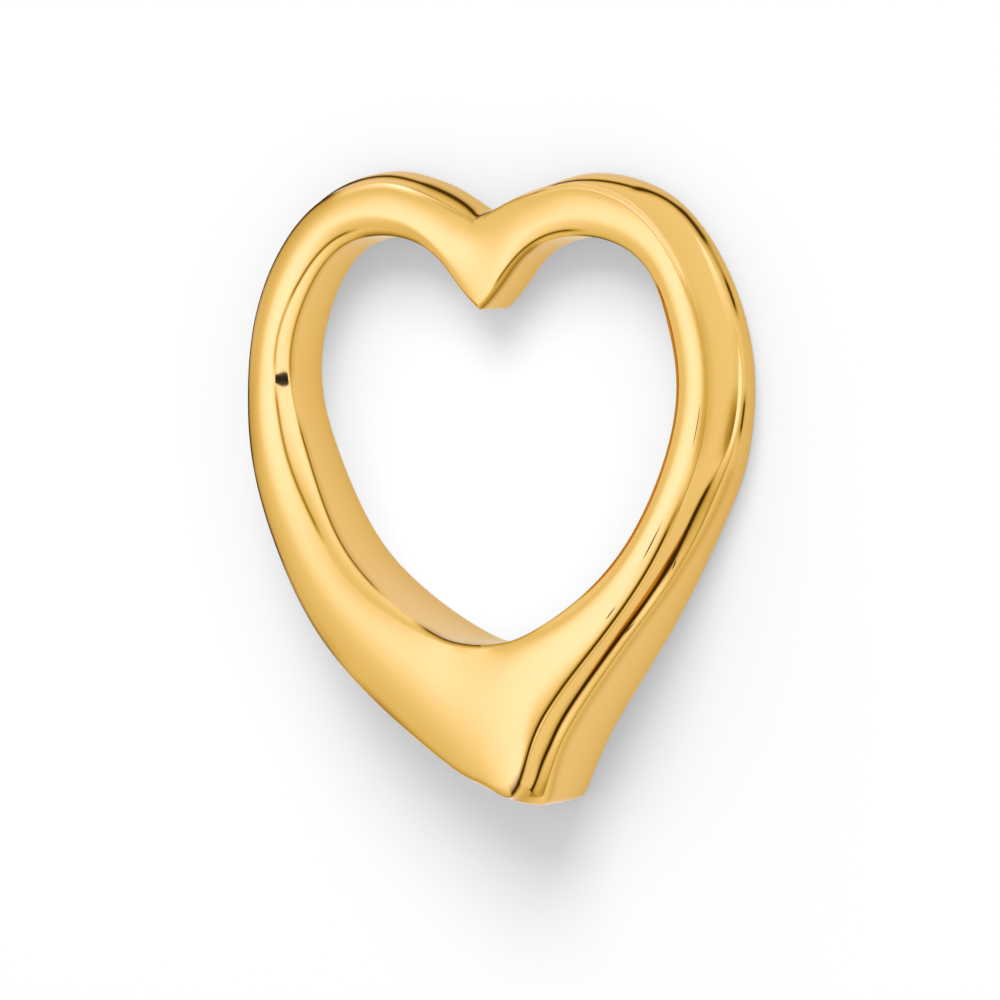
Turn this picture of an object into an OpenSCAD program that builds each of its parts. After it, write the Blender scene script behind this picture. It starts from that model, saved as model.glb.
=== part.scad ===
// Open heart slide: one cast ring in the form of a heart, with a folded right flank.
// Millimetres, +Z up. The flat back lies on z = 0, the lobes point to +Y and the tip to -Y.

/* [Outline] */
// Width of the whole heart
heart_w = 13.45; // [12.6:0.05:16]
// Length of the whole heart, from the lobes to the tip
heart_h = 16; // [15.2:0.1:19]
// Width of the heart-shaped opening
opening_w = 10.8; // [8:0.1:11.6]
// Length of the heart-shaped opening, from its lobes to its foot
opening_h = 10.33; // [8:0.01:11]
// How far the middle of the opening lies above the middle of the heart
opening_up = 1.175; // [0.6:0.025:1.6]

/* [Heights] */
// Height of the opening's wall at its foot, which the other face heights follow
face_h = 3.15; // [2.4:0.05:4.2]
// Height that the shoulder below the fold follows
step_h = 2.4; // [1.6:0.05:2.6]
// How far the face is domed between its edges
crown_h = 0.3; // [0.1:0.02:0.6]

/* [Edges and folds] */
// Rise of the bevel round the opening for each millimetre of its width
bevel_rise = 0.52; // [0.2:0.01:0.9]
// How far the side band is hollowed
scoop_d = 0.06; // [0:0.01:0.12]
// How far the shoulder is rounded outward
shoulder_r = 0.04; // [0:0.01:0.1]
// How far the outer wall bellies out at half its height
belly_d = 0.03; // [0:0.01:0.08]

/* [Smoothness] */
// Sections lofted between two rows of the tables
sections = 6; // [3:1:8]
// Strips across the domed face
face_strips = 9; // [5:1:12]
// Strips across each of the two bands
band_strips = 4; // [2:1:5]

/* [Hidden] */
// Columns of the two tables, a row for each section from the notch between the lobes to the tip.
// The opening and the outer edge are shares of half their widths and lengths. The places of the
// other lines are shares of the way from the opening to the outer edge. Heights are shares of
// face_h for the wall and the crease, of crown_h for the dome, and of step_h for the rest.
OPEN_X = 0;
OPEN_Y = 1;
EDGE_X = 2;
EDGE_Y = 3;
WALL_Z = 4;
BEVEL = 5;
DOME = 6;
CREASE = 7;
CREASE_Z = 8;
VALLEY = 9;
VALLEY_Z = 10;
RIM = 11;
RIM_Z = 12;
COLUMNS = 13;

notch_row =
    [-0.054, 0.635, -0.087, 0.871, 0.455, 0.05, 0.48, 0.90, 0.39, 0.94, 0.42, 0.99, 0.22];
tip_row =
    [0.110, -0.988, 0.283, -0.981, 1.00, 0.02, 0.95, 0.952, 1.02, 0.981, 1.10, 1.042, 0.92];

right_rows = [
    notch_row,
    [-0.010, 0.672, -0.010, 0.894, 0.455, 0.06, 0.50, 0.92, 0.40, 0.94, 0.41, 0.98, 0.22],
    [0.073, 0.772, 0.080, 0.929, 0.45, 0.10, 0.55, 0.91, 0.40, 0.93, 0.43, 0.98, 0.22],
    [0.180, 0.901, 0.194, 0.958, 0.445, 0.10, 0.55, 0.89, 0.405, 0.915, 0.44, 0.98, 0.24],
    [0.363, 0.985, 0.343, 0.987, 0.45, 0.10, 0.60, 0.845, 0.415, 0.885, 0.43, 0.98, 0.26],
    [0.608, 0.973, 0.544, 0.961, 0.465, 0.07, 0.55, 0.77, 0.44, 0.92, 0.38, 0.98, 0.26],
    [0.816, 0.841, 0.744, 0.856, 0.485, 0.05, 0.40, 0.67, 0.49, 0.97, 0.28, 0.99, 0.23],
    [0.921, 0.605, 0.915, 0.638, 0.49, 0.04, 0.50, 0.66, 0.51, 0.98, 0.27, 0.99, 0.22],
    [0.982, 0.315, 0.998, 0.375, 0.51, 0.03, 0.50, 0.65, 0.53, 0.93, 0.30, 0.99, 0.285],
    [0.962, 0.015, 0.982, 0.131, 0.55, 0.03, 0.53, 0.64, 0.555, 0.90, 0.40, 0.98, 0.37],
    [0.869, -0.295, 0.914, -0.044, 0.62, 0.03, 0.60, 0.65, 0.60, 0.77, 0.53, 0.975, 0.40],
    [0.728, -0.576, 0.792, -0.250, 0.73, 0.03, 0.65, 0.74, 0.70, 0.79, 0.62, 0.98, 0.56],
    [0.534, -0.802, 0.644, -0.463, 0.88, 0.03, 0.75, 0.80, 0.87, 0.83, 0.86, 0.96, 0.81],
    [0.334, -0.940, 0.469, -0.681, 0.98, 0.03, 0.95, 0.79, 0.96, 0.86, 1.02, 0.98, 0.96],
    [0.214, -0.978, 0.363, -0.832, 0.99, 0.03, 1.00, 0.84, 0.99, 0.90, 1.08, 1.00, 1.01],
    tip_row
];

left_rows = [
    notch_row,
    [-0.156, 0.741, -0.155, 0.906, 0.45, 0.04, 0.60, 0.86, 0.385, 0.96, 0.36, 0.99, 0.20],
    [-0.261, 0.876, -0.252, 0.950, 0.46, 0.05, 0.75, 0.83, 0.40, 0.94, 0.37, 0.99, 0.20],
    [-0.405, 0.973, -0.371, 0.983, 0.468, 0.10, 0.80, 0.84, 0.415, 0.93, 0.39, 0.99, 0.22],
    [-0.592, 1.000, -0.512, 0.994, 0.48, 0.13, 0.80, 0.84, 0.44, 0.93, 0.44, 0.99, 0.27],
    [-0.786, 0.934, -0.720, 0.925, 0.48, 0.16, 0.75, 0.86, 0.46, 0.93, 0.50, 0.99, 0.33],
    [-0.928, 0.741, -0.899, 0.738, 0.51, 0.21, 0.65, 0.90, 0.48, 0.96, 0.54, 1.00, 0.38],
    [-1.007, 0.470, -0.990, 0.513, 0.55, 0.27, 0.60, 0.91, 0.51, 0.98, 0.57, 1.00, 0.42],
    [-0.999, 0.199, -1.001, 0.275, 0.542, 0.29, 0.55, 0.93, 0.55, 0.99, 0.62, 1.00, 0.46],
    [-0.910, -0.082, -0.967, 0.038, 0.575, 0.28, 0.60, 0.94, 0.60, 0.99, 0.69, 1.00, 0.50],
    [-0.772, -0.373, -0.864, -0.180, 0.68, 0.20, 0.75, 0.95, 0.68, 0.99, 0.81, 1.00, 0.58],
    [-0.597, -0.605, -0.690, -0.422, 0.79, 0.17, 0.90, 0.96, 0.78, 0.995, 0.94, 1.00, 0.67],
    [-0.359, -0.800, -0.424, -0.650, 0.90, 0.10, 1.00, 0.97, 0.87, 1.00, 1.08, 1.00, 0.79],
    [-0.138, -0.932, -0.083, -0.862, 0.98, 0.04, 0.90, 0.975, 0.95, 1.00, 1.16, 1.01, 0.86],
    [-0.008, -0.977, 0.098, -0.948, 0.99, 0.03, 0.75, 0.950, 1.00, 0.970, 1.16, 1.03, 0.84],
    tip_row
];

// Lines that run smoothly through the tip; the others come to a point there
THROUGH_TIP = [OPEN_X, OPEN_Y, WALL_Z];

GOLD = [0.91, 0.72, 0.36];

// The row past the last one: the other half's neighbour of the tip, or a straight run on
function row_past_tip(rows, other) =
    let (last = rows[len(rows) - 1], before = rows[len(rows) - 2], mirrored = other[len(other) - 2])
    [for (c = [0 : COLUMNS - 1])
        len(search(c, THROUGH_TIP)) > 0 ? mirrored[c] : 2 * last[c] - before[c]];

// The same table with a row added before its first row and after its last
function run_on(rows, other) =
    concat([2 * rows[0] - rows[1]], rows, [row_past_tip(rows, other)]);

// Smooth curve through b and c at the share t between them, with a and d as their neighbours
function curve(a, b, c, d, t) =
    (2 * b + (c - a) * t + (2 * a - 5 * b + 4 * c - d) * t * t + (3 * b - a - 3 * c + d) * t * t * t) / 2;

// Rows of one half at every lofted section, from the notch up to just before the tip
function lofted(rows, other) =
    let (all_rows = run_on(rows, other))
    [for (i = [1 : len(rows) - 1], k = [0 : sections - 1])
        curve(all_rows[i - 1], all_rows[i], all_rows[i + 1], all_rows[i + 2], k / sections)];

function mix(a, b, t) = a + (b - a) * t;

// A hump that is 0 at both ends and 1 in the middle
function hump(t) = 4 * t * (1 - t);

// A point at a share of the way from the opening to the outer edge, at a height
function across(row, share, z) =
    let (
        open_at = [row[OPEN_X] * opening_w / 2, opening_up + row[OPEN_Y] * opening_h / 2],
        edge_at = [row[EDGE_X] * heart_w / 2, row[EDGE_Y] * heart_h / 2],
        at = mix(open_at, edge_at, share)
    )
    [at[0], at[1], z];

// Level direction from the opening to the outer edge, of unit length
function outward(row) =
    let (run = across(row, 1, 0) - across(row, 0, 0))
    run / norm(run);

// Distance from the opening to the outer edge
function band_w(row) = norm(across(row, 1, 0) - across(row, 0, 0));

// One closed section: wall of the opening, bevel, domed face, side band, shoulder and outer wall
function section(row) =
    let (
        foot = across(row, 0, 0),
        wall_top = across(row, 0, row[WALL_Z] * face_h),
        bevel_z = row[WALL_Z] * face_h + row[BEVEL] * band_w(row) * bevel_rise,
        bevel_top = across(row, row[BEVEL], bevel_z),
        crease = across(row, row[CREASE], row[CREASE_Z] * face_h),
        valley = across(row, row[VALLEY], row[VALLEY_Z] * step_h),
        rim = across(row, row[RIM], row[RIM_Z] * step_h),
        edge = across(row, 1, 0),
        up = [0, 0, 1],
        out = outward(row),
        hollow = scoop_d * norm(valley - crease),
        round_out = shoulder_r * norm(rim - valley)
    )
    concat(
        [foot, wall_top],
        [for (i = [0 : face_strips]) let (t = i / face_strips)
            mix(bevel_top, crease, t) + up * crown_h * row[DOME] * hump(t)],
        [for (i = [1 : band_strips]) let (t = i / band_strips)
            mix(crease, valley, t) - out * hollow * hump(t)],
        [for (i = [1 : band_strips]) let (t = i / band_strips)
            mix(valley, rim, t) + (out + up) * round_out * hump(t)],
        [mix(rim, edge, 0.5) + out * belly_d, edge]
    );

// Two triangles for the patch between neighbouring sections
function patch(i, j, count, points) =
    let (
        next_i = (i + 1) % count,
        next_j = (j + 1) % points,
        a = i * points + j,
        b = next_i * points + j,
        c = next_i * points + next_j,
        d = i * points + next_j
    )
    [[a, c, b], [a, d, c]];

module open_heart() {
    right_half = lofted(right_rows, left_rows);
    left_half = lofted(left_rows, right_rows);
    ring = concat(right_half, [tip_row], [for (i = [len(left_half) - 1 : -1 : 1]) left_half[i]]);
    loops = [for (row = ring) section(row)];
    points = len(loops[0]);
    color(GOLD)
        polyhedron(
            points = [for (loop = loops) each loop],
            faces = [for (i = [0 : len(ring) - 1], j = [0 : points - 1])
                each patch(i, j, len(ring), points)],
            convexity = 8
        );
}

open_heart();
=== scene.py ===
"""Open heart slide: a mirror-polished gold casting that lies on a white sweep.

The heart is one closed surface: a section is lofted round the heart-shaped opening, from the notch
between the lobes down the right side to the tip and up the left side. Lengths are in millimetres
in the tables and in metres in the scene, in the CAD model's frame: +Y from the tip to the lobes,
+Z out of the domed face.
"""
import logging
import math
from dataclasses import dataclass, field
from enum import Enum, IntEnum

import bpy
import numpy as np
from mathutils import Matrix, Vector


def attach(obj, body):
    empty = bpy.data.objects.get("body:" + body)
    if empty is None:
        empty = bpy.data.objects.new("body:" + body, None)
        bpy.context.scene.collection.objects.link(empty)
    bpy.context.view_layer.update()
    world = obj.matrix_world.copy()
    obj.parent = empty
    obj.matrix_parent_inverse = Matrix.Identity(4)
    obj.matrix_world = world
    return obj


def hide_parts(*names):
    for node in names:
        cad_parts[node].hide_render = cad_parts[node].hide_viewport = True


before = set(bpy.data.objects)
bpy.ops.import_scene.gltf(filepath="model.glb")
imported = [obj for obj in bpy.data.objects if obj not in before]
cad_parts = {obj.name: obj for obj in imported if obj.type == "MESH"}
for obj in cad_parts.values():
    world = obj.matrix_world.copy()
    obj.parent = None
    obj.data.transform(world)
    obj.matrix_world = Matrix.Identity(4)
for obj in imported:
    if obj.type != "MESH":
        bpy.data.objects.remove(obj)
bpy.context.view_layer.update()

LOG = logging.getLogger("open_heart")
MM = 0.001
# Powers of the light in red, green and blue
TONE = (0.8, 1.0, 2.2)

Array = np.ndarray
Colour = tuple[float, float, float]
Point = tuple[float, float, float]


class Side(Enum):
    """The two halves of the ring, each with its own table."""

    RIGHT = "right"
    LEFT = "left"


class Line(IntEnum):
    """Columns of the section rows: the lines that run round the heart."""

    OPEN_X = 0
    OPEN_Y = 1
    EDGE_X = 2
    EDGE_Y = 3
    WALL_Z = 4
    BEVEL = 5
    DOME = 6
    CREASE = 7
    CREASE_Z = 8
    VALLEY = 9
    VALLEY_Z = 10
    RIM = 11
    RIM_Z = 12


class Corner(IntEnum):
    """Corners of a section, from the opening's foot over the face to the outer edge.

    An edge has the number of the corner that it starts from.
    """

    FOOT = 0
    WALL = 1
    BEVEL = 2
    CREASE = 3
    VALLEY = 4
    RIM = 5
    EDGE = 6


# Lines that run smoothly through the tip; the others come to a point there
THROUGH_TIP = (Line.OPEN_X, Line.OPEN_Y, Line.WALL_Z)

# A row for each section from the notch to the tip, as in the CAD source. The opening and the outer
# edge are shares of half their widths and lengths. The places of the other lines are shares of the
# way from the opening to the outer edge. Heights are shares of face_h for the wall and the crease,
# of crown_h for the dome, and of step_h for the rest.
NOTCH_ROW = (-0.054, 0.635, -0.087, 0.871, 0.455, 0.05, 0.48, 0.90, 0.39, 0.94, 0.42, 0.99, 0.22)
TIP_ROW = (0.110, -0.988, 0.283, -0.981, 1.00, 0.02, 0.95, 0.952, 1.02, 0.981, 1.10, 1.042, 0.92)

RIGHT_ROWS = (
    NOTCH_ROW,
    (-0.010, 0.672, -0.010, 0.894, 0.455, 0.06, 0.50, 0.92, 0.40, 0.94, 0.41, 0.98, 0.22),
    (0.073, 0.772, 0.080, 0.929, 0.45, 0.10, 0.55, 0.91, 0.40, 0.93, 0.43, 0.98, 0.22),
    (0.180, 0.901, 0.194, 0.958, 0.445, 0.10, 0.55, 0.89, 0.405, 0.915, 0.44, 0.98, 0.24),
    (0.363, 0.985, 0.343, 0.987, 0.45, 0.10, 0.60, 0.845, 0.415, 0.885, 0.43, 0.98, 0.26),
    (0.608, 0.973, 0.544, 0.961, 0.465, 0.07, 0.55, 0.77, 0.44, 0.92, 0.38, 0.98, 0.26),
    (0.816, 0.841, 0.744, 0.856, 0.485, 0.05, 0.40, 0.67, 0.49, 0.97, 0.28, 0.99, 0.23),
    (0.921, 0.605, 0.915, 0.638, 0.49, 0.04, 0.50, 0.66, 0.51, 0.98, 0.27, 0.99, 0.22),
    (0.982, 0.315, 0.998, 0.375, 0.51, 0.03, 0.50, 0.65, 0.53, 0.93, 0.30, 0.99, 0.285),
    (0.962, 0.015, 0.982, 0.131, 0.55, 0.03, 0.53, 0.64, 0.555, 0.90, 0.40, 0.98, 0.37),
    (0.869, -0.295, 0.914, -0.044, 0.62, 0.03, 0.60, 0.65, 0.60, 0.77, 0.53, 0.975, 0.40),
    (0.728, -0.576, 0.792, -0.250, 0.73, 0.03, 0.65, 0.74, 0.70, 0.79, 0.62, 0.98, 0.56),
    (0.534, -0.802, 0.644, -0.463, 0.88, 0.03, 0.75, 0.80, 0.87, 0.83, 0.86, 0.96, 0.81),
    (0.334, -0.940, 0.469, -0.681, 0.98, 0.03, 0.95, 0.79, 0.96, 0.86, 1.02, 0.98, 0.96),
    (0.214, -0.978, 0.363, -0.832, 0.99, 0.03, 1.00, 0.84, 0.99, 0.90, 1.08, 1.00, 1.01),
    TIP_ROW,
)

LEFT_ROWS = (
    NOTCH_ROW,
    (-0.156, 0.741, -0.155, 0.906, 0.45, 0.04, 0.60, 0.86, 0.385, 0.96, 0.36, 0.99, 0.20),
    (-0.261, 0.876, -0.252, 0.950, 0.46, 0.05, 0.75, 0.83, 0.40, 0.94, 0.37, 0.99, 0.20),
    (-0.405, 0.973, -0.371, 0.983, 0.468, 0.10, 0.80, 0.84, 0.415, 0.93, 0.39, 0.99, 0.22),
    (-0.592, 1.000, -0.512, 0.994, 0.48, 0.13, 0.80, 0.84, 0.44, 0.93, 0.44, 0.99, 0.27),
    (-0.786, 0.934, -0.720, 0.925, 0.48, 0.16, 0.75, 0.86, 0.46, 0.93, 0.50, 0.99, 0.33),
    (-0.928, 0.741, -0.899, 0.738, 0.51, 0.21, 0.65, 0.90, 0.48, 0.96, 0.54, 1.00, 0.38),
    (-1.007, 0.470, -0.990, 0.513, 0.55, 0.27, 0.60, 0.91, 0.51, 0.98, 0.57, 1.00, 0.42),
    (-0.999, 0.199, -1.001, 0.275, 0.542, 0.29, 0.55, 0.93, 0.55, 0.99, 0.62, 1.00, 0.46),
    (-0.910, -0.082, -0.967, 0.038, 0.575, 0.28, 0.60, 0.94, 0.60, 0.99, 0.69, 1.00, 0.50),
    (-0.772, -0.373, -0.864, -0.180, 0.68, 0.20, 0.75, 0.95, 0.68, 0.99, 0.81, 1.00, 0.58),
    (-0.597, -0.605, -0.690, -0.422, 0.79, 0.17, 0.90, 0.96, 0.78, 0.995, 0.94, 1.00, 0.67),
    (-0.359, -0.800, -0.424, -0.650, 0.90, 0.10, 1.00, 0.97, 0.87, 1.00, 1.08, 1.00, 0.79),
    (-0.138, -0.932, -0.083, -0.862, 0.98, 0.04, 0.90, 0.975, 0.95, 1.00, 1.16, 1.01, 0.86),
    (-0.008, -0.977, 0.098, -0.948, 0.99, 0.03, 0.75, 0.950, 1.00, 0.970, 1.16, 1.03, 0.84),
    TIP_ROW,
)

# How the bevel bows on the left side, as (row, share of the bow): out above the lens's mirror
# image, straight at it and hollow below it
BEVEL_BOW = ((0.0, 0.0), (5.0, 0.5), (6.8, 0.8), (7.7, 0.0), (9.5, -2.0), (12.0, -0.8), (14.0, 0.0))
# Where the side band on the right loses its hollow, as (row, share lost)
FLAT = ((0.0, 0.0), (8.8, 0.0), (9.8, 1.0), (15.0, 1.0))


def even_spline(knots: Array, per: int) -> Array:
    """Sample the natural cubic curve through evenly spaced knots.

    The second derivatives m solve m[i-1] + 4 m[i] + m[i+1] = 6 (y[i-1] - 2 y[i] + y[i+1]), with
    none at the ends, so slope and bend are both unbroken, as a mirror finish needs.

    Args:
        knots: Rows of values, one for each knot.
        per: Samples for each step between two knots.

    Returns:
        The sampled rows, with the last knot as the last row.
    """
    count = len(knots)
    system = np.eye(count)
    right_side = np.zeros_like(knots)
    inner = np.arange(1, count - 1)
    system[inner, inner - 1] = 1.0
    system[inner, inner] = 4.0
    system[inner, inner + 1] = 1.0
    right_side[1:-1] = 6.0 * (knots[:-2] - 2.0 * knots[1:-1] + knots[2:])
    bend = np.linalg.solve(system, right_side)
    place = np.linspace(0.0, count - 1.0, (count - 1) * per + 1)
    low = np.minimum(place.astype(int), count - 2)
    t = (place - low)[:, None]
    s = 1.0 - t
    return (
        s * knots[low]
        + t * knots[low + 1]
        + ((s**3 - s) * bend[low] + (t**3 - t) * bend[low + 1]) / 6.0
    )


def run_along(points: Array) -> Array:
    """Distance of every point from the first one, along each section."""
    step = np.linalg.norm(np.diff(points, axis=1), axis=2)
    return np.concatenate([np.zeros((len(points), 1)), np.cumsum(step, axis=1)], axis=1)


def smoothed(points: Array, reach: Array) -> Array:
    """Average each line of a ring of points along itself by a bell curve.

    Args:
        points: Points as (sections, lines, axes), closed along the sections.
        reach: Width of the bell curve on each line, in sections.

    Returns:
        The averaged points.
    """
    turns = np.fft.rfftfreq(len(points))
    fade = np.exp(-0.5 * (2.0 * math.pi * turns[:, None] * reach[None, :]) ** 2)
    return np.fft.irfft(np.fft.rfft(points, axis=0) * fade[..., None], n=len(points), axis=0)


def grid_quads(rows: int, columns: int, closed: tuple[bool, bool] = (False, False)) -> Array:
    """Number the corners of the quads between the points of a grid.

    Args:
        rows: Points along the first way.
        columns: Points along the second way.
        closed: Whether the grid closes on itself along each way.

    Returns:
        Four point numbers for each quad.
    """
    i, j = np.meshgrid(
        np.arange(rows if closed[0] else rows - 1),
        np.arange(columns if closed[1] else columns - 1),
        indexing="ij",
    )
    low, high = i * columns, (i + 1) % rows * columns
    next_j = (j + 1) % columns
    return np.stack([low + j, high + j, high + next_j, low + next_j], -1).reshape(-1, 4)


def add_object(name: str, data: bpy.types.ID) -> bpy.types.Object:
    """Put an object into the scene, at the origin."""
    made = bpy.data.objects.new(name, data)
    bpy.context.scene.collection.objects.link(made)
    return made


def mesh_from_ring(name: str, grid: Array) -> bpy.types.Object:
    """Put a grid that closes both ways into a smooth mesh object.

    Args:
        name: Name of the object.
        grid: Points as (sections, points in a section, 3), in metres.

    Returns:
        The new object, at the origin.
    """
    rows, columns = grid.shape[:2]
    # Turned so that the faces point outward
    corners = grid_quads(rows, columns, (True, True))[:, [0, 3, 2, 1]]
    mesh = bpy.data.meshes.new(name)
    mesh.vertices.add(rows * columns)
    mesh.vertices.foreach_set("co", grid.astype(np.float32).ravel())
    mesh.loops.add(corners.size)
    mesh.loops.foreach_set("vertex_index", corners.astype(np.int32).ravel())
    mesh.polygons.add(len(corners))
    mesh.polygons.foreach_set("loop_start", np.arange(0, corners.size, 4, dtype=np.int32))
    mesh.polygons.foreach_set("use_smooth", np.ones(len(corners), dtype=bool))
    mesh.update(calc_edges=True)
    mesh.validate()
    return add_object(name, mesh)


def add_tone(mesh: bpy.types.Mesh, name: str, light: Array) -> None:
    """Give a mesh a colour attribute for its light at every point.

    Each channel is a power of the light, so that a lighter part is cooler and a darker part
    warmer, as a camera's tones show polished gold.

    Args:
        mesh: Mesh to dress.
        name: Name of the attribute.
        light: Light at every point, 1 for plain white.
    """
    colour = np.ones((len(light), 4))
    colour[:, :3] = light[:, None] ** np.array(TONE)
    tone = mesh.attributes.new(name, "FLOAT_COLOR", "POINT")
    tone.data.foreach_set("color", colour.astype(np.float32).ravel())


class Graph:
    """A material's or world's node tree, with one way to add a node."""

    def __init__(self, tree: bpy.types.NodeTree) -> None:
        """Take over a node tree and empty it."""
        self.tree = tree
        tree.nodes.clear()

    def node(
        self, kind: str, settings: dict | None = None, inputs: dict | None = None
    ) -> bpy.types.Node:
        """Add a node, set it up and feed it.

        Args:
            kind: Blender's name of the node type.
            settings: Properties of the node, set before its sockets.
            inputs: Values or links by socket name or number.

        Returns:
            The new node.
        """
        made = self.tree.nodes.new(kind)
        for key, value in (settings or {}).items():
            setattr(made, key, value)
        for key, value in (inputs or {}).items():
            socket = made.inputs[key]
            if isinstance(value, Wire):
                self.tree.links.new(value.socket, socket)
            else:
                socket.default_value = value
        return made

    def wire(
        self,
        kind: str,
        settings: dict | None = None,
        inputs: dict | None = None,
        output: str | int = 0,
    ) -> "Wire":
        """Add a node as node() does, and give back one of its outputs as a wire."""
        return Wire(self, self.node(kind, settings, inputs).outputs[output])

    def show(self, shader: "Wire", kind: str = "ShaderNodeOutputMaterial") -> None:
        """Send a shader to the surface of the tree's output."""
        self.node(kind, inputs={"Surface": shader})


@dataclass(frozen=True)
class Wire:
    """What flows out of a node. Numbers can be added, multiplied and taken away."""

    graph: Graph
    socket: bpy.types.NodeSocket

    def math(self, operation: str, other: "Wire | float") -> "Wire":
        """Add one Math node that takes this wire and another value."""
        return self.graph.wire("ShaderNodeMath", {"operation": operation}, {0: self, 1: other})

    def __add__(self, other: "Wire | float") -> "Wire":
        """Sum."""
        return self.math("ADD", other)

    __radd__ = __add__

    def __mul__(self, other: "Wire | float") -> "Wire":
        """Product."""
        return self.math("MULTIPLY", other)

    __rmul__ = __mul__

    def __rsub__(self, other: float) -> "Wire":
        """Difference with this wire taken away."""
        return self * -1.0 + other

    def between(self, low: float, high: float) -> "Wire":
        """Share of the way from low to high, held to 0 and 1."""
        return self.graph.wire(
            "ShaderNodeMapRange", inputs={"Value": self, "From Min": low, "From Max": high}
        )


def new_material(name: str) -> tuple[bpy.types.Material, Graph]:
    """Make a material with an empty node tree."""
    made = bpy.data.materials.new(name)
    made.use_nodes = True
    return made, Graph(made.node_tree)


@dataclass(frozen=True)
class PolishedGold:
    """Mirror-polished yellow gold: a bright metal with a trace of the polishing mop left in it.

    Sizes and depths are in millimetres.
    """

    colour: Colour = (0.815, 0.512, 0.138)
    deep_colour: Colour = (0.800, 0.495, 0.131)
    drift_size: float = 4.0
    drift_ends: tuple[float, float] = (0.3, 0.7)
    slant_tint: Colour = (0.96, 0.86, 0.76)
    roughness: float = 0.05
    haze: float = 0.03
    haze_size: float = 0.5
    haze_ends: tuple[float, float] = (0.35, 0.75)
    wave_size: float = 1.6
    wave_depth: float = 0.0006
    hairline_size: float = 0.8
    hairline_turn: Point = (0.3, 0.2, 0.9)
    hairline_squeeze: Point = (1.0, 14.0, 6.0)
    hairline_depth: float = 0.00002
    # Painted shade: a dull dark sheet laid over the darkest painted fold shade, so that it stays dark at
    # grazing angles too
    painted_shade_colour: Colour = (0.070, 0.028, 0.003)
    painted_shade_roughness: float = 0.5
    painted_shade_ends: tuple[float, float] = (0.55, 0.85)

    def material(self) -> bpy.types.Material:
        """Build the node tree.

        The colour drifts a little over millimetres and the roughness has a faint haze. The gold's colour
        carries painted fold shade, and where that is darkest a dull dark sheet is laid over the metal as
        painted shade.

        Returns:
            The material.
        """
        made, graph = new_material("polished_gold")
        place = graph.wire("ShaderNodeTexCoord", output="Object")
        drift = self.noise(graph, place, self.drift_size, 1.0)
        haze = self.noise(graph, place, self.haze_size, 3.0)
        tint = self.blend(
            graph, drift.between(*self.drift_ends), (*self.colour, 1.0), (*self.deep_colour, 1.0)
        )
        # The painted fold shade, which darkens the gold's colour along the folds
        fold = graph.wire("ShaderNodeAttribute", {"attribute_name": "painted_fold_shade"}, output="Color")
        metal = graph.wire(
            "ShaderNodeBsdfPrincipled",
            inputs={
                "Base Color": self.blend(graph, 1.0, tint, fold, "MULTIPLY"),
                "Metallic": 1.0,
                "Specular Tint": (*self.slant_tint, 1.0),
                "Roughness": haze.between(*self.haze_ends) * self.haze + self.roughness,
                "Normal": self.relief(graph, place),
            },
        )
        painted_shade = graph.wire(
            "ShaderNodeBsdfPrincipled",
            inputs={
                "Base Color": (*self.painted_shade_colour, 1.0),
                "Roughness": self.painted_shade_roughness,
                "Specular IOR Level": 0.0,
            },
        )
        # Painted shade: where the painted fold shade is darkest, the dull dark sheet covers the metal
        dark = 1.0 - graph.wire("ShaderNodeRGBToBW", inputs={"Color": fold})
        cover = dark.between(*self.painted_shade_ends)
        graph.show(graph.wire("ShaderNodeMixShader", inputs={0: cover, 1: metal, 2: painted_shade}))
        return made

    def relief(self, graph: Graph, place: Wire) -> Wire:
        """Bump the surface.

        The slow waves are what hand polishing leaves. The hairlines, drawn out by the last polish,
        are finer than the eye resolves.

        Args:
            graph: Node tree to add to.
            place: Coordinates on the metal.

        Returns:
            The bumped normal.
        """
        waves = graph.wire(
            "ShaderNodeBump",
            inputs={
                "Strength": 1.0,
                "Distance": self.wave_depth * MM,
                "Height": self.noise(graph, place, self.wave_size, 1.0),
            },
        )
        drawn = graph.wire(
            "ShaderNodeMapping",
            inputs={
                "Vector": place,
                "Rotation": self.hairline_turn,
                "Scale": self.hairline_squeeze,
            },
        )
        return graph.wire(
            "ShaderNodeBump",
            inputs={
                "Strength": 1.0,
                "Distance": self.hairline_depth * MM,
                "Height": self.noise(graph, drawn, self.hairline_size, 2.0),
                "Normal": waves,
            },
        )

    @staticmethod
    def blend(
        graph: Graph, share: Wire | float, first: Wire | tuple, second: Wire | tuple, kind: str = "MIX"
    ) -> Wire:
        """Mix two colours by a share."""
        return graph.wire(
            "ShaderNodeMix",
            {"data_type": "RGBA", "blend_type": kind},
            {0: share, 6: first, 7: second},
            output=2,
        )

    @staticmethod
    def noise(graph: Graph, place: Wire, size: float, detail: float) -> Wire:
        """Smooth noise over the metal, with features of a size in millimetres."""
        return graph.wire(
            "ShaderNodeTexNoise",
            inputs={"Vector": place, "Scale": 1.0 / (size * MM), "Detail": detail},
        )


@dataclass(frozen=True)
class FoldSpan:
    """A stretch of one fold line, between two rows of one side's table, with soft ends.

    Its amount is a length in millimetres or a share of the light, as the list that holds it says.
    """

    side: Side
    corner: Corner
    first: float
    last: float
    amount: float
    ramp: float = 0.5

    def along(self, row: Array) -> Array:
        """Amount at places along the side's table, 0 outside the stretch."""
        rise = np.clip((row - self.first) / self.ramp + 0.5, 0.0, 1.0)
        fall = np.clip((self.last - row) / self.ramp + 0.5, 0.0, 1.0)
        both = rise * fall
        return self.amount * both * both * (3.0 - 2.0 * both)


class Reach(Enum):
    """Which side of its line a shade darkens."""

    BOTH = "both"
    BEFORE = "before"
    PAST = "past"


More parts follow.
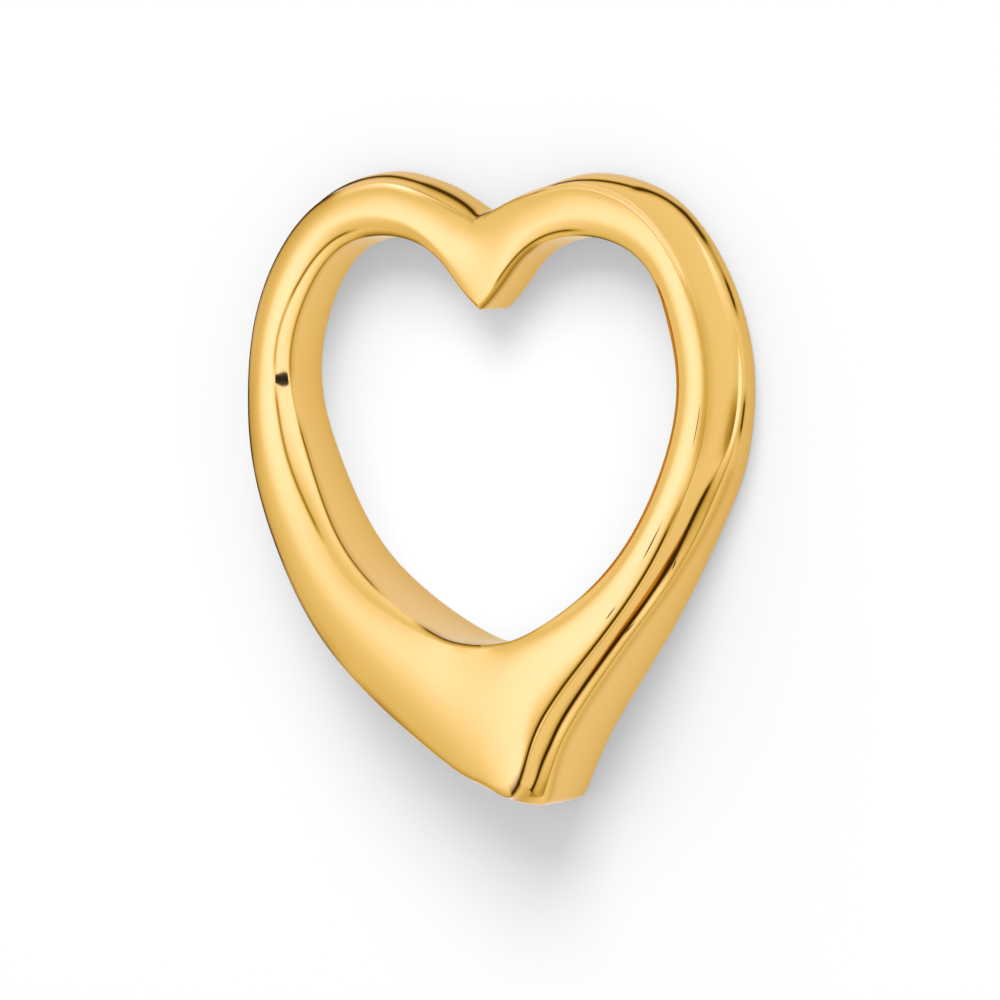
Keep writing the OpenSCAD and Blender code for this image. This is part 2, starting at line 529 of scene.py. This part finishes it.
@dataclass(frozen=True)
class FoldLine(FoldSpan):
    """A line along a stretch of a fold, moved off it by a distance along the section.

    With onto set, the line leaves its fold and reaches that one at the end of the stretch. Its
    width and its move outward, away from the opening, are in millimetres.
    """

    width: float = 0.045
    off: float = 0.0
    onto: Corner | None = None

    def away(self, run: Array, middles: list[int], row: Array) -> Array:
        """Distance of every outline point past the line.

        Args:
            run: Distance along each section, as (sections, points).
            middles: Places of the folds in the outline.
            row: Place of each section in the side's table.

        Returns:
            Distances as (sections, points), below 0 on the opening's side.
        """
        centre = run[:, middles[self.corner]]
        if self.onto is not None:
            share = np.clip((row - self.first) / (self.last - self.first), 0.0, 1.0)
            centre = centre + (run[:, middles[self.onto]] - centre) * share
        return run - centre[:, None] - self.off


@dataclass(frozen=True)
class FoldShade(FoldLine):
    """Painted shade along a line of a fold: the gold's colour darkened where shade and dark reflections
    fall.
    """

    reach: Reach = Reach.BOTH


@dataclass
class OpenHeart:
    """The casting: one ring in the form of a heart, with a bevelled opening and a folded flank.

    Lengths are in millimetres. Reaches along the ring are in sections.
    """

    # Sizes that the tables follow
    heart_w: float = 13.45
    heart_h: float = 16.0
    opening_w: float = 10.8
    opening_h: float = 10.33
    opening_up: float = 1.175
    face_h: float = 3.15
    step_h: float = 2.4
    crown_h: float = 0.3
    bevel_rise: float = 0.52
    scoop_d: float = 0.06
    shoulder_r: float = 0.04
    belly_d: float = 0.026
    bevel_bow: float = 0.02
    # Sections between two rows, points inside a rounded corner and points inside each edge
    sections: int = 24
    corner_points: int = 7
    edge_points: tuple[int, ...] = (6, 7, 26, 12, 9, 8, 3)
    # How far each corner is cut back along the edge before it and along the edge after it, the
    # most of an edge that a corner takes, and a handle's share of the gap
    reach_before: tuple[float, ...] = (0.05, 0.05, 0.05, 0.05, 0.05, 0.06, 0.05)
    reach_after: tuple[float, ...] = (0.05, 0.05, 0.05, 0.05, 0.05, 0.30, 0.05)
    edge_share: float = 0.42
    handle_share: float = 0.37
    # How far the mitres at the notch and the tip are eased along the ring: on the folds, down to
    # the wall's foot and in the middle of the face
    notch_reach: float = 2.5
    notch_foot_reach: float = 11.0
    notch_face_reach: float = 24.0
    tip_reach: float = 4.0
    tip_foot_reach: float = 4.0
    tip_face_reach: float = 22.0
    mitre_spread: float = 2.5
    face_power: float = 0.7
    wall_power: float = 1.5
    # Corners that are cut back further, by the amounts
    soft_corners: tuple[FoldSpan, ...] = (
        FoldSpan(Side.RIGHT, Corner.CREASE, 6.6, 9.4, 0.20, 1.2),
        FoldSpan(Side.RIGHT, Corner.CREASE, 2.4, 6.9, 0.10, 0.8),
        FoldSpan(Side.RIGHT, Corner.CREASE, 9.0, 15.0, 0.10, 0.8),
        FoldSpan(Side.RIGHT, Corner.RIM, 9.2, 15.2, 0.13, 0.8),
    )
    # Corners that lie further out than the tables say, by the amounts
    moved: tuple[FoldSpan, ...] = (
        FoldSpan(Side.LEFT, Corner.CREASE, 5.0, 8.8, 0.075, 1.4),
        FoldSpan(Side.RIGHT, Corner.CREASE, 13.9, 18.0, -0.17, 1.6),
        FoldSpan(Side.LEFT, Corner.CREASE, 14.3, 18.0, 0.24, 0.7),
        FoldSpan(Side.LEFT, Corner.CREASE, 14.85, 18.0, -0.41, 0.3),
        FoldSpan(Side.RIGHT, Corner.VALLEY, 14.4, 18.0, -0.16, 1.0),
        FoldSpan(Side.LEFT, Corner.VALLEY, 14.3, 18.0, 0.22, 0.7),
        FoldSpan(Side.LEFT, Corner.VALLEY, 14.85, 18.0, -0.38, 0.3),
    )
    # Fine grooves, as deep as the amounts
    grooves: tuple[FoldLine, ...] = (
        FoldLine(Side.RIGHT, Corner.CREASE, 3.0, 6.9, 0.034, 0.8, width=0.036, off=-0.042),
        FoldLine(Side.RIGHT, Corner.CREASE, 10.3, 15.0, 0.036, 0.8, width=0.036, off=-0.022),
    )
    # Painted shade: dark lines and soft shades painted into the gold's colour along the folds, which
    # take away the amounts as shares of the light
    shades: tuple[FoldShade, ...] = (
        FoldShade(Side.RIGHT, Corner.CREASE, 0.6, 3.2, 0.60, width=0.04),
        FoldShade(Side.RIGHT, Corner.VALLEY, 3.2, 5.2, 0.90, width=0.05),
        FoldShade(Side.RIGHT, Corner.VALLEY, 5.1, 6.0, 0.93, 0.2, width=0.085, onto=Corner.RIM),
        FoldShade(Side.RIGHT, Corner.RIM, 5.9, 6.5, 0.93, 0.3, width=0.095),
        FoldShade(Side.RIGHT, Corner.RIM, 6.5, 6.9, 0.50, 0.3, width=0.06),
        FoldShade(Side.RIGHT, Corner.RIM, 6.9, 7.35, 0.95, 0.3, width=0.055),
        FoldShade(Side.RIGHT, Corner.RIM, 8.35, 8.85, 0.94, 0.3, width=0.055, off=0.02),
        FoldShade(Side.RIGHT, Corner.VALLEY, 8.35, 9.1, 0.62, width=0.14, reach=Reach.BEFORE),
        FoldShade(Side.RIGHT, Corner.WALL, 4.4, 12.4, 0.85, width=0.05, off=-0.02),
        FoldShade(Side.RIGHT, Corner.CREASE, 7.0, 9.2, 0.24, 0.9, width=0.14),
        FoldShade(Side.RIGHT, Corner.CREASE, 10.0, 10.6, 0.35, width=0.03, off=-0.06),
        FoldShade(Side.RIGHT, Corner.CREASE, 10.4, 16.0, 0.95, width=0.036, off=-0.06),
        FoldShade(Side.LEFT, Corner.CREASE, 14.72, 16.0, 0.95, 0.1, width=0.036, off=-0.06),
        FoldShade(Side.RIGHT, Corner.VALLEY, 9.6, 16.0, 0.88, width=0.05),
        FoldShade(Side.RIGHT, Corner.VALLEY, 9.8, 11.2, 0.60, width=0.12, reach=Reach.PAST),
        FoldShade(Side.RIGHT, Corner.VALLEY, 11.6, 14.6, 0.55, width=0.11, reach=Reach.BEFORE),
        FoldShade(Side.RIGHT, Corner.RIM, 9.4, 15.0, 0.25, width=0.12, off=0.07),
        FoldShade(Side.RIGHT, Corner.WALL, 0.2, 3.4, 0.55, width=0.10),
        FoldShade(Side.RIGHT, Corner.BEVEL, 1.6, 4.4, 0.75, width=0.03),
        FoldShade(Side.RIGHT, Corner.WALL, 12.6, 16.0, 0.55, width=0.05),
        FoldShade(Side.LEFT, Corner.CREASE, -1.0, 2.8, 0.35, width=0.05),
        FoldShade(Side.LEFT, Corner.VALLEY, 0.2, 2.6, 0.40, width=0.16),
        FoldShade(Side.LEFT, Corner.VALLEY, -1.0, 4.6, 0.85, width=0.07),
        FoldShade(Side.RIGHT, Corner.VALLEY, -1.0, 1.0, 0.80, width=0.07),
        FoldShade(Side.LEFT, Corner.VALLEY, 4.4, 7.9, 0.82, width=0.10),
        FoldShade(Side.LEFT, Corner.CREASE, 4.7, 8.9, 0.93, width=0.085),
        FoldShade(Side.LEFT, Corner.CREASE, 4.7, 8.9, 0.45, width=0.25),
        FoldShade(Side.LEFT, Corner.CREASE, 8.9, 10.4, 0.76, width=0.09),
        FoldShade(Side.LEFT, Corner.CREASE, 8.9, 11.6, 0.36, width=0.22),
        FoldShade(Side.LEFT, Corner.CREASE, 10.4, 12.6, 0.50, width=0.10),
        FoldShade(Side.LEFT, Corner.CREASE, 12.6, 16.0, 0.40, width=0.06),
        FoldShade(Side.LEFT, Corner.VALLEY, 12.0, 16.0, 0.34, width=0.22),
        FoldShade(Side.LEFT, Corner.WALL, 0.4, 2.6, 0.50, width=0.035),
        FoldShade(Side.LEFT, Corner.WALL, 2.6, 4.4, 0.66, width=0.08),
        FoldShade(Side.LEFT, Corner.WALL, 4.5, 7.6, 0.45, width=0.04),
        FoldShade(Side.LEFT, Corner.BEVEL, 4.5, 6.4, 0.72, width=0.028),
        FoldShade(Side.LEFT, Corner.BEVEL, 6.4, 7.5, 0.55, width=0.028),
        FoldShade(Side.LEFT, Corner.BEVEL, 7.8, 10.2, 0.64, width=0.032),
        FoldShade(Side.LEFT, Corner.WALL, 8.4, 11.6, 0.70, width=0.030),
        FoldShade(Side.LEFT, Corner.WALL, 12.6, 16.0, 0.78, width=0.055),
    )
    finish: PolishedGold = field(default_factory=PolishedGold)

    def rows(self) -> Array:
        """Lofted rows round the whole ring, from the notch down the right and up the left."""
        right = np.array(RIGHT_ROWS)
        left = np.array(LEFT_ROWS)
        whole = even_spline(np.vstack([right, left[-2::-1]]), self.sections)
        down = even_spline(right, self.sections)
        up = even_spline(left, self.sections)[::-1]
        ring = np.vstack([down, up[1:]])
        through = list(THROUGH_TIP)
        ring[:, through] = whole[:, through]
        return ring[:-1]

    def across(self, ring: Array) -> tuple[Array, Array, Array]:
        """Opening's edge, unit direction outward and band width at each section, in plan."""
        opening = np.stack(
            [
                ring[:, Line.OPEN_X] * self.opening_w / 2.0,
                ring[:, Line.OPEN_Y] * self.opening_h / 2.0 + self.opening_up,
            ],
            1,
        )
        edge = np.stack(
            [ring[:, Line.EDGE_X] * self.heart_w / 2.0, ring[:, Line.EDGE_Y] * self.heart_h / 2.0], 1
        )
        width = np.linalg.norm(edge - opening, axis=1)
        return opening, (edge - opening) / width[:, None], width

    def corners(self, ring: Array, width: Array) -> Array:
        """Corners of each section as (sections, 7, 2): distance outward and height."""
        wall = ring[:, Line.WALL_Z] * self.face_h
        bevel = ring[:, Line.BEVEL] * width
        zero = np.zeros_like(wall)
        made = np.stack(
            [
                np.stack([zero, zero], 1),
                np.stack([zero, wall], 1),
                np.stack([bevel, wall + bevel * self.bevel_rise], 1),
                np.stack([ring[:, Line.CREASE] * width, ring[:, Line.CREASE_Z] * self.face_h], 1),
                np.stack([ring[:, Line.VALLEY] * width, ring[:, Line.VALLEY_Z] * self.step_h], 1),
                np.stack([ring[:, Line.RIM] * width, ring[:, Line.RIM_Z] * self.step_h], 1),
                np.stack([width, zero], 1),
            ],
            1,
        )
        for move in self.moved:
            made[:, move.corner, 0] += self.on_side(move, len(ring))
        return made

    def humps(self, ring: Array, corners: Array) -> Array:
        """How far each edge of a section bows, as (sections, 7, 2) at the middle of the edge."""
        after = np.roll(corners, -1, axis=1)
        length = np.linalg.norm(after - corners, axis=2)
        bow = np.zeros_like(corners)
        bow[:, Corner.WALL, 1] = self.bevel_bow * self.along_side(Side.LEFT, BEVEL_BOW, len(ring))
        bow[:, Corner.BEVEL, 1] = ring[:, Line.DOME] * self.crown_h
        hollow = 1.0 - self.along_side(Side.RIGHT, FLAT, len(ring))
        bow[:, Corner.CREASE, 0] = -self.scoop_d * length[:, Corner.CREASE] * hollow
        bow[:, Corner.VALLEY, :] = self.shoulder_r * length[:, Corner.VALLEY, None]
        bow[:, Corner.RIM, 0] = self.belly_d
        return bow

    def side_rows(self, side: Side, count: int) -> tuple[Array, Array]:
        """Place of every section in one side's table, and which sections belong to that side."""
        place = np.arange(count)
        half = count // 2
        if side is Side.RIGHT:
            return place / self.sections, place <= half
        return (count - place) % count / self.sections, (place >= half) | (place == 0)

    def along_side(self, side: Side, knots: tuple, count: int) -> Array:
        """Straight runs between (row, value) knots on one side, 0 on the other."""
        row, own = self.side_rows(side, count)
        places, values = zip(*knots)
        return np.where(own, np.interp(row, places, values), 0.0)

    def on_side(self, span: FoldSpan, count: int) -> Array:
        """Amount of a span at every section, 0 on the other side."""
        row, own = self.side_rows(span.side, count)
        return np.where(own, span.along(row), 0.0)

    def profile(self, ring: Array, width: Array) -> Array:
        """Section outlines with every corner rounded, as (sections, points, 2).

        An edge is the straight line between its corners plus its bow times 4 t (1 - t). Each corner
        is cut back along both edges and bridged by a cubic whose handles lie along the two edges'
        tangents, each a set share of the bridged gap, so that the outline has no kink.

        Args:
            ring: Lofted rows.
            width: Band width at each row.

        Returns:
            Distance outward and height of every point.
        """
        corner = self.corners(ring, width)
        after = np.roll(corner, -1, axis=1)
        bow = self.humps(ring, corner)
        length = np.linalg.norm(after - corner, axis=2)
        reach = np.tile(np.array([self.reach_before, self.reach_after])[:, None], (1, len(ring), 1))
        for soft in self.soft_corners:
            extra = self.on_side(soft, len(ring))
            reach[:, :, soft.corner] = np.maximum(reach[:, :, soft.corner], extra)
        share = np.minimum(reach[1] / length, self.edge_share)
        share_end = np.minimum(np.roll(reach[0], -1, axis=1) / length, self.edge_share)

        def at(edge: int, t: Array) -> Array:
            """Points of one edge at shares t, given as (sections, samples)."""
            t = t[..., None]
            line = corner[:, edge, None] * (1.0 - t) + after[:, edge, None] * t
            return line + bow[:, edge, None] * 4.0 * t * (1.0 - t)

        def slope(edge: int, t: Array) -> Array:
            """Tangents of one edge at shares t, given as (sections, samples)."""
            t = t[..., None]
            return (after - corner)[:, edge, None] + bow[:, edge, None] * 4.0 * (1.0 - 2.0 * t)

        runs = []
        for edge, count in enumerate(self.edge_points):
            before = (edge - 1) % len(self.edge_points)
            stop, go = 1.0 - share_end[:, before, None], share[:, edge, None]
            start, end = at(before, stop), at(edge, go)
            a, b = slope(before, stop), slope(edge, go)
            gap = np.linalg.norm(end - start, axis=2, keepdims=True) * self.handle_share
            leave = start + a / np.linalg.norm(a, axis=2, keepdims=True) * gap
            arrive = end - b / np.linalg.norm(b, axis=2, keepdims=True) * gap
            u = np.linspace(0.0, 1.0, self.corner_points + 2)[None, :, None]
            v = 1.0 - u
            runs.append(v**3 * start + 3.0 * u * v**2 * leave + 3.0 * u**2 * v * arrive + u**3 * end)
            t = np.linspace(0.0, 1.0, count + 2)[None, 1:-1]
            low, high = share[:, edge, None], 1.0 - share_end[:, edge, None]
            runs.append(at(edge, low + (high - low) * t))
        return self.scored(np.concatenate(runs, axis=1))

    def bell(self, line: FoldLine, run: Array) -> tuple[Array, Array]:
        """Distance of every outline point past a line, and the line's amount in a bell across it."""
        row = self.side_rows(line.side, len(run))[0]
        away = line.away(run, self.corner_middles(), row)
        return away, self.on_side(line, len(run))[:, None] * np.exp(-0.5 * (away / line.width) ** 2)

    def scored(self, outline: Array) -> Array:
        """Cut the fine grooves into the outlines: bells across each line, taken off square to it."""
        run = run_along(outline)
        for groove in self.grooves:
            depth = self.bell(groove, run)[1]
            step = np.gradient(outline, axis=1)
            square = np.stack([-step[..., 1], step[..., 0]], -1)
            square /= np.maximum(np.linalg.norm(square, axis=2, keepdims=True), 1e-9)
            outline = outline - square * depth[..., None]
        return outline

    def grid(self) -> Array:
        """All points of the surface in metres, as (sections, points in a section, 3)."""
        ring = self.rows()
        opening, outward, width = self.across(ring)
        outline = self.profile(ring, width)
        plan = opening[:, None] + outward[:, None] * outline[..., :1]
        points = np.concatenate([plan, outline[..., 1:]], axis=2)
        return self.eased(points) * MM

    def eased(self, points: Array) -> Array:
        """Round the mitres at the notch and the tip, where the two halves meet.

        The points there are mixed with their average along the ring, by a bell curve round the
        mitre, so the rest of the heart stays as it is.

        Args:
            points: Surface points, in millimetres.

        Returns:
            The eased points.
        """
        count = len(points)
        place = np.arange(count)
        face = self.face_weight()
        notch_foot = self.wall_weight(Corner.WALL, Corner.FOOT)
        tip_foot = self.wall_weight(Corner.RIM, Corner.EDGE)
        mitres = (
            (0, self.notch_reach, self.notch_face_reach, self.notch_foot_reach, notch_foot),
            (count // 2, self.tip_reach, self.tip_face_reach, self.tip_foot_reach, tip_foot),
        )
        for centre, reach, face_reach, foot_reach, foot in mitres:
            away = (place - centre + count // 2) % count - count // 2
            wide = reach + (face_reach - reach) * face + (foot_reach - reach) * foot
            share = np.exp(-0.5 * (away[:, None] / (self.mitre_spread * wide)) ** 2)[..., None]
            points = points + share * (smoothed(points, wide) - points)
        points[..., 2] = np.maximum(points[..., 2], 0.0)
        return points

    def face_weight(self) -> Array:
        """How far each outline point belongs to the open face: 1 in its middle, 0 at its edges."""
        counts = self.counts()
        first, last = sum(counts[: Corner.BEVEL]), sum(counts[: Corner.CREASE])
        place = np.arange(sum(counts))
        t = np.clip((place - first - self.corner_points) / (last - first - self.corner_points), 0.0, 1.0)
        return np.sin(math.pi * t) ** self.face_power

    def wall_weight(self, top: Corner, foot: Corner) -> Array:
        """How near each outline point is to a wall's foot: 1 at that corner, 0 at the top one."""
        middles = self.corner_middles()
        place = np.arange(sum(self.counts()))
        share = np.clip((place - middles[top]) / (middles[foot] - middles[top]), 0.0, 1.0)
        return share**self.wall_power

    def foot(self) -> Array:
        """Points of the two lines where the walls meet the table, in plan, in millimetres."""
        opening, outward, width = self.across(self.rows()[::2])
        return np.concatenate([opening, opening + outward * width[:, None]])

    def counts(self) -> list[int]:
        """Points of each rounded corner together with the edge after it."""
        return [self.corner_points + 2 + count for count in self.edge_points]

    def corner_middles(self) -> list[int]:
        """Places in the outline of the middles of the seven rounded corners."""
        counts = self.counts()
        return [sum(counts[:corner]) + self.corner_points // 2 + 1 for corner in range(len(counts))]

    def painted_fold_light(self, points: Array) -> Array:
        """Painted light of the gold at every point: 1, less the painted shade along the folds.

        Args:
            points: Surface points as (sections, points in a section, 3), in millimetres.

        Returns:
            Brightness at every point.
        """
        bright = np.ones(points.shape[:2])
        run = run_along(points)
        for shade in self.shades:
            away, dark = self.bell(shade, run)
            if shade.reach is Reach.PAST:
                dark[away < 0.0] = 0.0
            elif shade.reach is Reach.BEFORE:
                dark[away > 0.0] = 0.0
            bright *= 1.0 - dark
        return bright

    def build(self) -> bpy.types.Object:
        """Make the casting, dress it in gold and let it stand for the CAD solid.

        Returns:
            The finished piece.
        """
        points = self.grid()
        piece = mesh_from_ring("heart_casting", points)
        # Painted shade: the gold's colour is darkened along the folds, where shade and dark reflections
        # fall
        add_tone(piece.data, "painted_fold_shade", self.painted_fold_light(points / MM).ravel())
        piece.data.materials.append(self.finish.material())
        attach(piece, "root")
        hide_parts("open_heart")
        return piece


def mirrored_only(name: str, mesh: bpy.types.Mesh) -> bpy.types.Object:
    """Stand a mesh in the studio that only the metal mirrors: it lights and shades nothing.

    Args:
        name: Name of the object.
        mesh: Its mesh, with its material.

    Returns:
        The new object.
    """
    made = add_object(name, mesh)
    made.visible_camera = False
    made.visible_diffuse = False
    made.visible_shadow = False
    return made


def add_glow(mesh: bpy.types.Mesh, light: Array) -> None:
    """Make a mesh shine with its own light at every point, 1 for plain white."""
    made, graph = new_material(mesh.name + "_glow")
    add_tone(mesh, "glow", light)
    shine = graph.wire("ShaderNodeAttribute", {"attribute_name": "glow"}, output="Color")
    graph.show(graph.wire("ShaderNodeEmission", inputs={"Color": shine, "Strength": 1.0}))
    mesh.materials.append(made)


class Shape(Enum):
    """How a patch of the tent lies in its map."""

    SPOT = "spot"
    ARC = "arc"


@dataclass(frozen=True)
class TentPatch:
    """A soft lighter or darker patch of the tent.

    A spot is a bell round a point of the map. An arc is a bell in height above the table times a
    bell in the direction round the heart, both in degrees. A larger edge makes the bell's top
    flatter and its sides steeper.
    """

    name: str
    at: tuple[float, float]
    width: tuple[float, float]
    gain: float
    shape: Shape = Shape.SPOT
    edge: float = 2.0

    def light(self, way: Array) -> Array:
        """Light that the patch adds to the tent in each direction.

        Args:
            way: Unit directions from the heart.

        Returns:
            Gain in each direction.
        """
        if self.shape is Shape.ARC:
            over = np.degrees(np.arcsin(np.clip(way[:, 2], -1.0, 1.0))) - self.at[1]
            round_heart = np.degrees(np.arctan2(way[:, 1], way[:, 0])) - self.at[0]
            round_heart = (round_heart + 180.0) % 360.0 - 180.0
            away = np.stack([round_heart, over], 1)
        else:
            flat = way[:, :2] * np.sqrt(2.0 / (1.0 + way[:, 2:]))
            away = flat - np.array(self.at)
        far = np.sum((away / np.array(self.width)) ** 2, axis=1)
        return self.gain * np.exp(-0.5 * far ** (0.5 * self.edge))


@dataclass(frozen=True)
class Tent:
    """White light tent over the heart, as the gold mirrors it.

    Its light is 1 plus the patches.
    """

    patches: tuple[TentPatch, ...]
    radius: float = 0.45
    rings: int = 150
    sides: int = 240
    lowest: float = 0.01

    def build(self) -> bpy.types.Object:
        """Make the dome with its light in a colour attribute.

        Returns:
            The dome.
        """
        lean, turn = np.meshgrid(
            np.linspace(0.0, 0.5 * math.pi, self.rings),
            np.linspace(0.0, 2.0 * math.pi, self.sides, endpoint=False),
            indexing="ij",
        )
        way = np.stack(
            [np.sin(lean) * np.cos(turn), np.sin(lean) * np.sin(turn), np.cos(lean)], -1
        ).reshape(-1, 3)
        light = np.clip(1.0 + sum(patch.light(way) for patch in self.patches), self.lowest, None)
        mesh = bpy.data.meshes.new("tent")
        quads = grid_quads(self.rings, self.sides, (False, True))
        mesh.from_pydata((way * self.radius).tolist(), [], quads.tolist())
        add_glow(mesh, light)
        return mirrored_only("tent", mesh)


@dataclass(frozen=True)
class MirroredTable:
    """The white table as the gold mirrors it: a little dimmer close to the heart's foot.

    A near and a far shade are taken from its light, each given by its depth and the distance in
    millimetres over which it falls off. The table is fine close to the heart and coarse further out.
    """

    light: float = 1.12
    near: tuple[float, float] = (0.22, 0.30)
    far: tuple[float, float] = (0.12, 2.0)
    fine: float = 14.0
    step: float = 0.12
    rough: tuple[float, ...] = (18.0, 25.0, 40.0, 80.0, 200.0, 1500.0)

    def build(self, foot: Array, low: float) -> bpy.types.Object:
        """Lay the table under the heart.

        Args:
            foot: Points of the heart's foot lines in plan, in millimetres.
            low: Height of the table, in metres.

        Returns:
            The table.
        """
        rough = np.array(self.rough)
        run = np.concatenate([-rough[::-1], np.arange(-self.fine, self.fine, self.step), rough])
        x, y = np.meshgrid(run, run, indexing="ij")
        plan = np.stack([x.ravel(), y.ravel()], 1)
        square = (plan**2).sum(1)[:, None] + (foot**2).sum(1)[None] - 2.0 * plan @ foot.T
        away = np.sqrt(np.clip(square.min(axis=1), 0.0, None))
        light = self.light - sum(depth * np.exp(-away / reach) for depth, reach in (self.near, self.far))
        points = np.concatenate([plan * MM, np.full((len(plan), 1), low)], axis=1)
        mesh = bpy.data.meshes.new("mirrored_table")
        mesh.from_pydata(points.tolist(), [], grid_quads(len(run), len(run)).tolist())
        add_glow(mesh, light)
        return mirrored_only("mirrored_table", mesh)


@dataclass(frozen=True)
class Lens:
    """The dark front of the camera's lens, which the bevel mirrors."""

    towards: Point
    radius: float = 0.0120
    distance: float = 0.3
    sides: int = 48

    def build(self) -> bpy.types.Object:
        """Make a black disc that faces the heart.

        Returns:
            The disc.
        """
        way = Vector(self.towards).normalized()
        turn = np.array(way.to_track_quat("Z", "Y").to_matrix())
        angle = np.linspace(0.0, 2.0 * math.pi, self.sides, endpoint=False)
        flat = np.stack([np.cos(angle), np.sin(angle), 0.0 * angle], 1) * self.radius
        mesh = bpy.data.meshes.new("lens")
        points = flat @ turn.T + np.array(way) * self.distance
        mesh.from_pydata(points.tolist(), [], [list(range(self.sides))])
        made, graph = new_material("lens_black")
        graph.show(graph.wire("ShaderNodeEmission", inputs={"Color": (0.0, 0.0, 0.0, 1.0)}))
        mesh.materials.append(made)
        return mirrored_only("lens", mesh)


@dataclass(frozen=True)
class Softbox:
    """A square area light that looks at the heart, or at another point."""

    name: str
    towards: Point
    size: float
    power: float
    distance: float = 0.6
    aim: Point = (0.0, 0.0, 0.0)
    colour: Colour = (1.0, 1.0, 1.0)

    def build(self) -> bpy.types.Object:
        """Make the light, hidden from the camera and the metal.

        Returns:
            The light.
        """
        data = bpy.data.lights.new(self.name, "AREA")
        data.shape = "SQUARE"
        data.size = self.size
        data.energy = self.power
        data.color = self.colour
        lamp = add_object(self.name, data)
        lamp.visible_glossy = False
        lamp.visible_camera = False
        way = Vector(self.towards).normalized()
        turn = way.to_track_quat("Z", "Y").to_matrix().to_4x4()
        lamp.matrix_world = Matrix.Translation(Vector(self.aim) + way * self.distance) @ turn
        return lamp


@dataclass
class Studio:
    """White sweep, soft light, what the metal mirrors, and the camera.

    The aim, the sensor and the floor's drop are in millimetres.
    """

    turn_deg: float = 27.0
    pixels_for_mm: float = 39.75
    picture: int = 1000
    aim: Point = (-0.445, -0.302, 0.0)
    camera_away: float = 0.6
    sensor: float = 36.0
    floor_size: float = 3.0
    floor_drop: float = 0.01
    floor_colour: Colour = (0.93, 0.93, 0.93)
    floor_glow: float = 0.30
    sky: float = 0.43
    softboxes: tuple[Softbox, ...] = (
        Softbox("key", towards=(0.06, 0.68, 0.72), size=0.35, power=1.85),
        Softbox(
            "wall_bounce",
            towards=(0.0, 0.0, 1.0),
            size=0.002,
            power=7e-5,
            distance=0.005,
            aim=(-0.0012, -0.0018, 0.0),
        ),
    )
    tent: Tent = Tent(
        (
            TentPatch("lamp_overhead", (0.0, 0.10), (0.68, 0.60), 0.66, edge=4.0),
            TentPatch("lamp_core", (0.14, 0.10), (0.22, 0.22), 0.06),
            TentPatch("lamp_past_lobes", (78.0, 3.0), (26.0, 6.0), 1.5, Shape.ARC),
            TentPatch("dark_corner", (-35.0, 3.0), (16.0, 9.0), -0.5, Shape.ARC),
            TentPatch("dim_front", (-95.0, 5.0), (30.0, 16.0), -0.35, Shape.ARC),
        )
    )

    def view_way(self) -> Point:
        """Unit direction from the heart to the camera."""
        turn = math.radians(self.turn_deg)
        return (math.sin(turn), 0.0, math.cos(turn))

    def camera(self) -> bpy.types.Object:
        """Set up the long lens that looks along the photograph's direction, with the lobes up.

        Returns:
            The camera.
        """
        turn = math.radians(self.turn_deg)
        data = bpy.data.cameras.new("camera")
        data.sensor_width = self.sensor
        picture_width = self.picture / self.pixels_for_mm * MM
        data.lens = self.sensor * self.camera_away / picture_width
        data.clip_start = 0.01
        made = add_object("camera", data)
        away = Vector(self.view_way())
        right = Vector((math.cos(turn), 0.0, -math.sin(turn)))
        up = Vector((0.0, 1.0, 0.0))
        at = Vector(self.aim) * MM + away * self.camera_away
        turned = Matrix((right, up, away)).transposed().to_4x4()
        made.matrix_world = Matrix.Translation(at) @ turned
        bpy.context.scene.camera = made
        return made

    def floor(self) -> bpy.types.Object:
        """Lay the matt white sweep just under the heart's back.

        Returns:
            The sweep.
        """
        half = self.floor_size / 2.0
        low = -self.floor_drop * MM
        mesh = bpy.data.meshes.new("sweep")
        mesh.from_pydata(
            [(-half, -half, low), (half, -half, low), (half, half, low), (-half, half, low)],
            [],
            [(0, 1, 2, 3)],
        )
        made, graph = new_material("sweep_white")
        shader = graph.wire(
            "ShaderNodeBsdfPrincipled",
            inputs={
                "Base Color": (*self.floor_colour, 1.0),
                "Roughness": 0.9,
                "Specular IOR Level": 0.0,
                "Emission Color": (1.0, 1.0, 1.0, 1.0),
                "Emission Strength": self.floor_glow,
            },
        )
        graph.show(shader)
        mesh.materials.append(made)
        sweep = add_object("sweep", mesh)
        sweep.visible_glossy = False
        return sweep

    def sky_light(self) -> None:
        """Even white surroundings."""
        world = bpy.data.worlds.new("tent")
        world.use_nodes = True
        graph = Graph(world.node_tree)
        shade = graph.wire(
            "ShaderNodeBackground", inputs={"Color": (1.0, 1.0, 1.0, 1.0), "Strength": self.sky}
        )
        graph.show(shade, "ShaderNodeOutputWorld")
        bpy.context.scene.world = world

    def build(self, foot: Array) -> None:
        """Set up floor, surroundings, lights, mirrored things and camera.

        Args:
            foot: Points of the heart's foot lines in plan, in millimetres.
        """
        self.floor()
        self.sky_light()
        for softbox in self.softboxes:
            softbox.build()
        self.tent.build()
        MirroredTable().build(foot, -self.floor_drop * MM)
        Lens(self.view_way()).build()
        self.camera()
        bpy.context.scene.view_settings.view_transform = "Standard"
        bpy.context.scene.cycles.caustics_reflective = False


def main() -> None:
    """Build the heart and the studio, and report each piece."""
    logging.basicConfig(level=logging.INFO, format="%(name)s: %(message)s")
    heart = OpenHeart()
    piece = heart.build()
    foot = heart.foot()
    LOG.info("%s: %d points, %d faces", piece.name, len(piece.data.vertices), len(piece.data.polygons))
    Studio().build(foot)
    LOG.info("studio ready")


if __name__ == "__main__":
    main()
